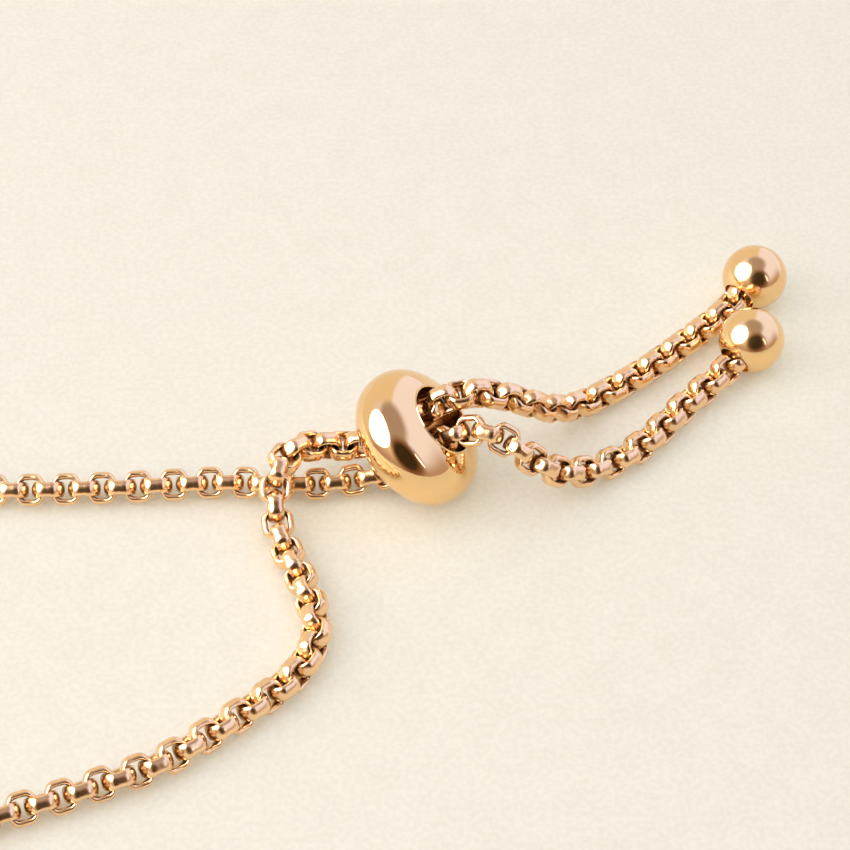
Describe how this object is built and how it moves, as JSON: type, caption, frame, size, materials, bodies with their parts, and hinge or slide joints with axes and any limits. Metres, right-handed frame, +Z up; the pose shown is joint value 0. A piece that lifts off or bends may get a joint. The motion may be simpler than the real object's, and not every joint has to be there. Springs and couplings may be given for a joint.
{
  "type": "bracelet",
  "caption": "Adjustable chain bracelet: a round box chain runs twice through a polished slider bead and each end closes in a small ball.",
  "frame": {"origin": "middle of the bracelet's box, on the surface that it lies on", "axes": "+Z up, +X towards the end balls and away from the wrist loop, +Y away from the viewer of the picture"},
  "size_m": [0.0891, 0.0486, 0.0071],
  "materials": {
    "chain_metal": "rose gold, polished links",
    "polished_metal": "rose gold, mirror polished"
  },
  "bodies": {
    "root": {"far_half_chain": "chain_metal", "near_half_chain": "chain_metal", "slider_bead": "polished_metal", "far_end_ball": "polished_metal", "near_end_ball": "polished_metal"}
  },
  "joints": []
}
